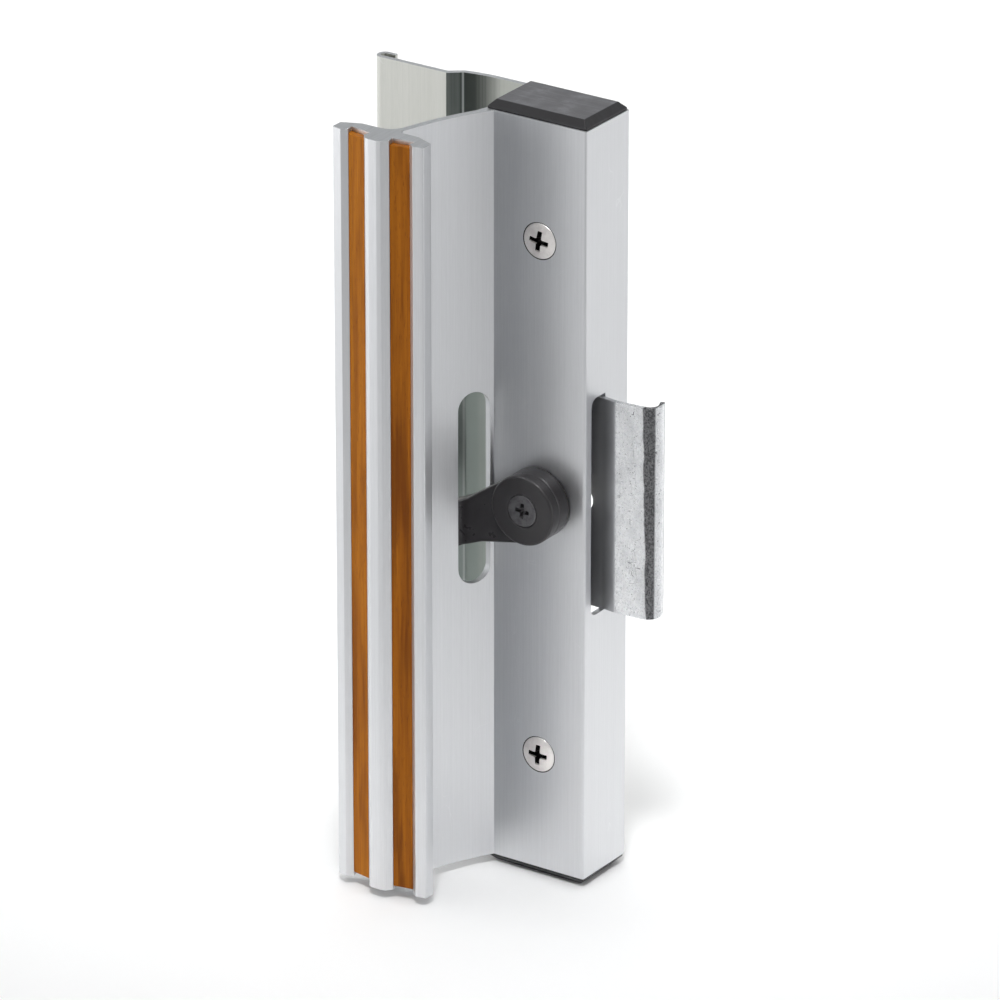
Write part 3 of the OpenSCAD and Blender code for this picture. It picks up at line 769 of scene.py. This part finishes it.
def outside_pull():
    """Extrusion with a notch beside the latch and a tapped boss behind each mounting screw."""
    piece = extrusion("outside_pull_extrusion", outside_outline(), outside_low.z, outside_high.z)
    notch_x, notch_half, notch_r = -8.0, 62.0, 2.0
    beyond = 30.0
    outline = rounded([
        (notch_x, -notch_half, notch_r),
        (beyond, -notch_half),
        (beyond, notch_half),
        (notch_x, notch_half, notch_r),
    ])
    turn = Matrix(((1, 0, 0), (0, 0, 1), (0, 1, 0))).to_4x4()
    cut(piece, prism("notch", outline, -1, 12, turn))
    boss_r, boss_edge, boss_root, boss_top = 6.5, 0.8, 1.4, outside_high.y
    boss = [(0, boss_root), (boss_r, boss_root), (boss_r, boss_top - boss_edge),
            (boss_r - boss_edge, boss_top), (0, boss_top)]
    hole_r, hole_end = 2.75, 7.0
    hole = [(0, -1), (hole_r, -1), (hole_r, hole_end), (0, hole_end)]
    for z in (-SCREW_Z, SCREW_Z):
        place = at(0, 0, z) @ ALONG_Y
        add(piece, lathe("boss", boss, place, steps=64))
        cut(piece, lathe("tapped", hole, place))
    soften(piece, 0.14, angle=55)
    stand_in(piece, "outside_pull", ALUMINIUM_OUT, ALUMINIUM_CUT, ALUMINIUM_PAINTED_SHADE)
    step_foot = STEP_X - STEP_RUN - 0.1
    # painted shade: forward faces past the step's foot take the painted-shade aluminium
    paint(piece, 2, lambda centre, normal: normal.y < -0.3 and centre.x > step_foot)
    paint(piece, 1, lambda centre, normal: abs(centre.z) > HALF - END_BAND)


# ---------------------------------------------------------------- end caps
def end_caps():
    """Chamfered plates with four legs each that grip the channel's walls."""
    chamfer, band = 2.1, 0.7
    leg_w, leg_d, gap = 3.0, 5.0, 0.1
    low, high, plate_z = cap_low, cap_high, HALF
    for side, node in ((1, "top_cap"), (-1, "bottom_cap")):
        rings = []
        levels = ((plate_z, 0.0, 0.5), (plate_z + band, 0.0, 0.5), (high.z, chamfer, 0.25))
        for z, back, r in levels:
            edge = rectangle(low.x + back, low.y + back, high.x - back, high.y - back, r)
            rings.append([(x, y, z) for x, y in edge])
        piece = loft(node + "_moulding", rings)
        for x in (LEFT_X + WALL + gap, RIGHT_X - WALL - gap - leg_w):
            for y in (FACE_Y + WALL + gap, -WALL - gap - leg_d):
                add(piece, block("leg", (x, y, low.z), (x + leg_w, y + leg_d, plate_z + 0.3)))
        soften(piece, 0.22, segments=3, angle=25)
        if side < 0:
            piece.data.transform(Matrix.Scale(-1, 4, (0, 0, 1)))
            piece.data.flip_normals()
        stand_in(piece, node, BLACK_PLASTIC, BLACK_PLASTIC_PAINTED_SHEEN)
        # painted sheen: the flat tops are coloured lighter than the chamfers
        paint(piece, 1, lambda c, normal: abs(c.z) > high.z - 0.1 and abs(normal.z) > 0.9)


# ---------------------------------------------------------------- screws
def cross_tool(size, width, top, depth, turn, place, lead=0.75):
    """Tapered cross recess: four wings that narrow with depth, with rounded inner corners.

    The recess starts at height top of the screw, and narrows quickest over its first lead.
    """
    w, s = width / 2, size / 2
    quarter = [(s, -w, 0.2), (s, w, 0.2), (w, w, 0.5)]
    outline = []
    for k in range(4):
        spin = Matrix.Rotation(math.radians(90 * k + turn), 2)
        outline += [(*(spin @ Vector((x, y))), r) for x, y, r in quarter]
    outline = rounded(outline, steps=3)
    rings = []
    levels = ((-1.0, 1.0), (0.0, 1.0), (lead, 0.92), (depth * 0.75, 0.8), (depth, 0.2))
    for below, scale in levels:
        rings.append([(x * scale, y * scale, top + below) for x, y in outline])
    return loft("cross", rings, place)


def mount_screws():
    """Oval countersunk screws with a threaded end."""
    head_r = SCREW_HEAD_R
    dome, sink, shank_r = 0.8, 1.85, 2.73
    length = screw_high.y - FACE_Y
    sphere_r = (head_r**2 + dome**2) / (2 * dome)
    face = []
    for k in range(13):
        r = (head_r - 0.25) * k / 12
        face.append((r, sphere_r - dome - math.sqrt(sphere_r**2 - r**2)))
    rim = [(head_r - 0.08, -0.03), (head_r, 0.12), (head_r - 0.25, 0.45)]
    pitch, root_r, turns = 1.0, 2.3, 13
    thread_start = length - 13.5
    shank = [(shank_r, sink), (shank_r, thread_start - pitch / 2)]
    thread = []
    for k in range(turns):
        y = thread_start + k * pitch
        thread += [(root_r, y), (shank_r, y + pitch / 2)]
    profile = face + rim + shank + thread + [(root_r * 0.8, length), (0, length)]
    cross_size, cross_w, cross_depth = 6.8, 1.6, 2.7

    def painted_recess_shade(z):
        """Painted shade test for the screw's recess at height z, but for its lit walls near the
        rim.
        """
        def inside(centre, normal):
            away = math.hypot(centre.x, centre.z - z)
            below = centre.y - FACE_Y + dome - away**2 / (2 * sphere_r)
            lit = normal.z > 0.3 and below < 0.75
            return away < cross_size / 2 + 0.5 and 0.12 < below < cross_depth + 0.3 and not lit
        return inside

    for node, z, turn in (("upper_mount_screw", SCREW_Z, 8), ("lower_mount_screw", -SCREW_Z, 3)):
        place = at(0, FACE_Y, z) @ ALONG_Y
        piece = lathe(node + "_body", profile, place, steps=72)
        cut(piece, cross_tool(cross_size, cross_w, -dome, cross_depth, turn, place))
        soften(piece, 0)
        stand_in(piece, node, NICKEL, RECESS_PAINTED_SHADE)
        # painted shade in the cross recess
        paint(piece, 1, painted_recess_shade(z))


# The lever and its screw are drawn with the arm level and then turned down to rest
AT_REST = Matrix.Rotation(math.radians(-LEVER_REST), 4, "Y")


def lever_screw():
    """Countersunk cross-head screw, sunk just below the hub's face."""
    head_r, shank_r, head_h = 5.1, 2.4, 2.7
    length = head_high.y - head_low.y
    rim = [(head_r - 0.35, 0.0), (head_r - 0.1, 0.08), (head_r, 0.25), (head_r - 0.15, 0.5)]
    shank = [(shank_r, head_h), (shank_r, length - 0.5), (shank_r - 0.5, length), (0, length)]
    place = AT_REST @ at(0, head_low.y) @ ALONG_Y
    piece = lathe("lever_screw_body", [(0, 0.0)] + rim + shank, place)
    cut(piece, cross_tool(5.0, 1.3, 0.0, 1.7, 28, place, 0.4))
    soften(piece, 0)
    stand_in(piece, "lever_screw", DARK_STEEL)


# ---------------------------------------------------------------- thumb lever
def arm_outline():
    """The arm seen from the front, pointing to -X from the hub's middle."""
    neck, pad_start, pad_r, arm_w, length = 20.0, 28.0, 8.2, 14.2, 45.0
    half = arm_w / 2
    upper = [(-2, HUB_R - 0.4), (-neck, half, 2.5), (-pad_start, half - 0.2, 2.5)]
    lower = [(x, -z, *r) for x, z, *r in upper[::-1]]
    return upper + arc(-length + pad_r, 0, pad_r, 90, 270, 24) + lower


def thumb_lever():
    """Hub with a rounded rim, a tapered arm set back from its face, and a ridged thumb pad."""
    arm_t, arm_gap, hub_gap = 5.0, 3.0, 0.2
    depth = HUB_H - hub_gap
    rim = 0.75
    front = arc(HUB_R - rim, rim, rim, -90, 0, 6)
    back = arc(HUB_R - 0.4, depth - 0.4, 0.4, 0, 90, 3)
    line = [(HUB_R, 3.8), (HUB_R - 0.2, 4.0), (HUB_R - 0.05, 4.25), (HUB_R - 0.05, 5.0)]
    profile = [(0, 0)] + front + line + back + [(0, depth)]
    hub_face = at(0, HUB_FRONT_Y) @ ALONG_Y
    hub = lathe("thumb_lever_body", profile, hub_face)
    front_on = Matrix(((1, 0, 0), (0, 0, -1), (0, 1, 0))).to_4x4()
    arm_back = arm_gap - FACE_Y
    outline = rounded(arm_outline(), steps=6)
    add(hub, cushion("arm", outline, arm_back, arm_back + arm_t, 0.7, front_on))
    ridge_r, ridge_half, ridge_sink, first_x, pitch = 1.1, 5.2, 0.35, -41.2, 3.6
    ridge = arc(0, 0, ridge_r, 0, 360, 20)[:-1]
    for k in range(3):
        place = at(first_x + pitch * k, FACE_Y - arm_gap - arm_t + ridge_sink)
        add(hub, prism("ridge", ridge, -ridge_half, ridge_half, place))
    seat_r, bore_r = 5.6, 2.55
    cone = [(seat_r, -1), (seat_r, 0), (seat_r - 0.3, 0.25), (bore_r, 2.9), (bore_r, 6)]
    cut(hub, lathe("seat", [(0, -1)] + cone + [(0, 6)], hub_face))
    half, socket_depth = 6.45 / 2, 4.8
    cut(hub, block("socket", (-half, FACE_Y - socket_depth, -half), (half, FACE_Y + 1, half)))
    recess_r, recess_depth = 7.7, 0.9  # clears the bush's flange
    recess = [(0, -recess_depth), (recess_r, -recess_depth), (recess_r, 2), (0, 2)]
    cut(hub, lathe("recess", recess, at(0, FACE_Y) @ ALONG_Y))
    hub.data.transform(AT_REST)
    soften(hub, 0)
    stand_in(hub, "thumb_lever", BLACK_LEVER)


# ---------------------------------------------------------------- clamp latch
def clamp_outline():
    """Plan section: flat in the housing, set forward outside it, then bent into a hook."""
    t, bend_r, lip_angle, lip = CLAMP_T, 4.2, 22.0, 2.2
    front = CLAMP_FRONT
    set_y, end_y = front - 0.6, front + 0.1
    near, bend = RIGHT_X + 0.4, RIGHT_X + 5.0
    cx, cy = clamp_high.x - bend_r, end_y + bend_r
    outer = arc(cx, cy, bend_r, -84, lip_angle, 14)
    inner = arc(cx, cy, bend_r - t, lip_angle, -84, 14)
    along = (-sind(lip_angle) * lip, cosd(lip_angle) * lip)
    tip = [(x + along[0], y + along[1], 0.4) for x, y in (outer[-1], inner[0])]
    plate = [(clamp_low.x, front), (near, front, 4), (bend, set_y, 6), (cx, end_y, 1.5)]
    back = [(x, y + t, *r) for x, y, *r in plate[::-1]]
    return rounded(plate + outer + tip + inner + back, steps=6)


def clamp_latch():
    """Plate with ears that run in the guides, a slot for the cam's post and one for its pin."""
    half_h = APERTURE_HALF - 1
    piece = prism("clamp_latch_plate", clamp_outline(), -half_h, half_h)
    front, ear_high, ear_right = CLAMP_FRONT, clamp_high.z, 12.0
    front_on = Matrix(((1, 0, 0), (0, 0, 1), (0, 1, 0))).to_4x4()
    ears = rectangle(clamp_low.x, -ear_high, ear_right, ear_high, 1.5)
    add(piece, prism("ears", ears, front, front + CLAMP_T, front_on))
    guide_mid, guide_len, guide_w = 3.7, 19.4, 8.1
    guide = [(x + guide_mid, z) for z, x in stadium(guide_len, guide_w)]
    cut(piece, prism("guide_slot", guide, front - 1, front + 3, front_on))
    pin_x, pin_low, pin_high, pin_w = 3.38, -10.95, -5.33, 4.0
    pin_mid = (pin_low + pin_high) / 2
    pin = [(x + pin_x, z + pin_mid) for x, z in stadium(pin_high - pin_low, pin_w)]
    cut(piece, prism("pin_slot", pin, front - 1, front + 3, front_on))
    soften(piece, 0.22, segments=3)
    stand_in(piece, "clamp_latch", ZINC_PLATE)


# ---------------------------------------------------------------- hidden mechanism
HIDDEN = {
    "upper_spacer": PLAIN_ALUMINIUM, "lower_spacer": PLAIN_ALUMINIUM,
    "spindle_bush": WHITE_NYLON, "upper_guide": WHITE_NYLON, "lower_guide": WHITE_NYLON,
    "friction_washer": SPRING_STEEL, "drive_cam": CAST_ZINC, "cam_pin": BRIGHT_STEEL,
    "retaining_ring": DARK_STEEL,
}


def hidden_parts():
    """CAD pieces inside the housing keep their own shape and take a finish."""
    for node, finish in HIDDEN.items():
        mesh = frame["nodes"][node].data
        mesh.materials.clear()
        mesh.materials.append(finish)


# ---------------------------------------------------------------- camera, floor and light
def bearing(azimuth, elevation):
    """Direction from the object; azimuth 0 is straight in front of it and 90 is its right side."""
    level = cosd(elevation)
    return Vector((sind(azimuth) * level, -cosd(azimuth) * level, sind(elevation)))


def aim(obj, back):
    """Turns a camera or light so that it looks against the direction it stands in."""
    obj.rotation_euler = (-back).to_track_quat("-Z", "Y").to_euler()


def camera():
    """Long lens from the front right, above."""
    elevation, distance, lens = 23.38, 2526.0, 300.0
    shift_right, shift_up = -24.7, -7.2
    back = bearing(CAMERA_AZIMUTH, elevation)
    right = bearing(CAMERA_AZIMUTH + 90, 0)
    up = back.cross(right)
    data = bpy.data.cameras.new("camera")
    data.lens = lens
    data.sensor_width = 36.0
    data.clip_end = 50.0
    obj = bpy.data.objects.new("camera", data)
    bpy.context.scene.collection.objects.link(obj)
    obj.location = (right * shift_right + up * shift_up + back * distance) * MM
    aim(obj, back)
    bpy.context.scene.camera = obj


def floor():
    """Pale matte table just below the object."""
    f = Finish("floor", (1, 1, 1, 1), 0.9)
    f.bump(f.noise(f.stretched(6, 6, 6)), 0.02)
    half, thick = 3000.0, 5.0
    top = cad_box[0].z / MM - 0.2
    obj = prism("floor", rectangle(-half, -half, half, half), top - thick, top)
    obj.data.materials.append(f.material)


def softbox(name, azimuth, elevation, distance, width, height, power):
    """A soft area light aimed at the object. Lengths are in metres and power is in watts."""
    data = bpy.data.lights.new(name, "AREA")
    data.shape = "RECTANGLE"
    data.size = width
    data.size_y = height
    data.energy = power
    obj = bpy.data.objects.new(name, data)
    back = bearing(azimuth, elevation)
    obj.location = back * distance
    aim(obj, back)
    bpy.context.scene.collection.objects.link(obj)
    return obj


def studio():
    """A pale table lit from above and behind, with the photographer's side left dark."""
    world = bpy.data.worlds.new("studio")
    bpy.context.scene.world = world
    world.use_nodes = True
    tree = world.node_tree
    ground = tree.nodes["Background"]
    direction = tree.nodes.new("ShaderNodeTexCoord").outputs["Generated"]

    def towards(vector, low, high, to_low, to_high):
        """How far a direction leans along the vector, mapped smoothly."""
        dot = tree.nodes.new("ShaderNodeVectorMath")
        dot.operation = "DOT_PRODUCT"
        tree.links.new(direction, dot.inputs[0])
        dot.inputs[1].default_value = vector
        step = tree.nodes.new("ShaderNodeMapRange")
        step.interpolation_type = "SMOOTHSTEP"
        for socket, value in zip(list(step.inputs)[1:5], (low, high, to_low, to_high)):
            socket.default_value = value
        tree.links.new(dot.outputs["Value"], step.inputs["Value"])
        return step.outputs["Result"]

    rear = towards(bearing(CAMERA_AZIMUTH, 0), 0.55, 0.9, 1.18, 0.12)
    low = towards((0, 0, 1), 0.1, 0.5, 1.0, 0.42)
    product = tree.nodes.new("ShaderNodeMath")
    product.operation = "MULTIPLY"
    tree.links.new(rear, product.inputs[0])
    tree.links.new(low, product.inputs[1])
    tree.links.new(product.outputs[0], ground.inputs["Strength"])
    ground.inputs["Color"].default_value = (0.98, 0.99, 1.0, 1)

    table = softbox("table_light", CAMERA_AZIMUTH + 180, 62, 1.4, 2.6, 1.1, 5.5)
    table.rotation_euler = (0, 0, math.radians(CAMERA_AZIMUTH))  # straight down on the table
    table.data.spread = math.radians(60)
    softbox("left_front", -52, 10, 1.3, 1.3, 0.8, 5)
    softbox("right_side", 100, 6, 1.3, 0.5, 0.5, 1.2)
    above = softbox("above_camera", 30, 60, 1.6, 0.32, 0.32, 0.3)
    above.data.spread = math.radians(24)
    bpy.context.scene.view_settings.view_transform = "Standard"


camera()
floor()
studio()
inside_pull()
wood_inserts()
outside_pull()
end_caps()
mount_screws()
lever_screw()
thumb_lever()
clamp_latch()
hidden_parts()
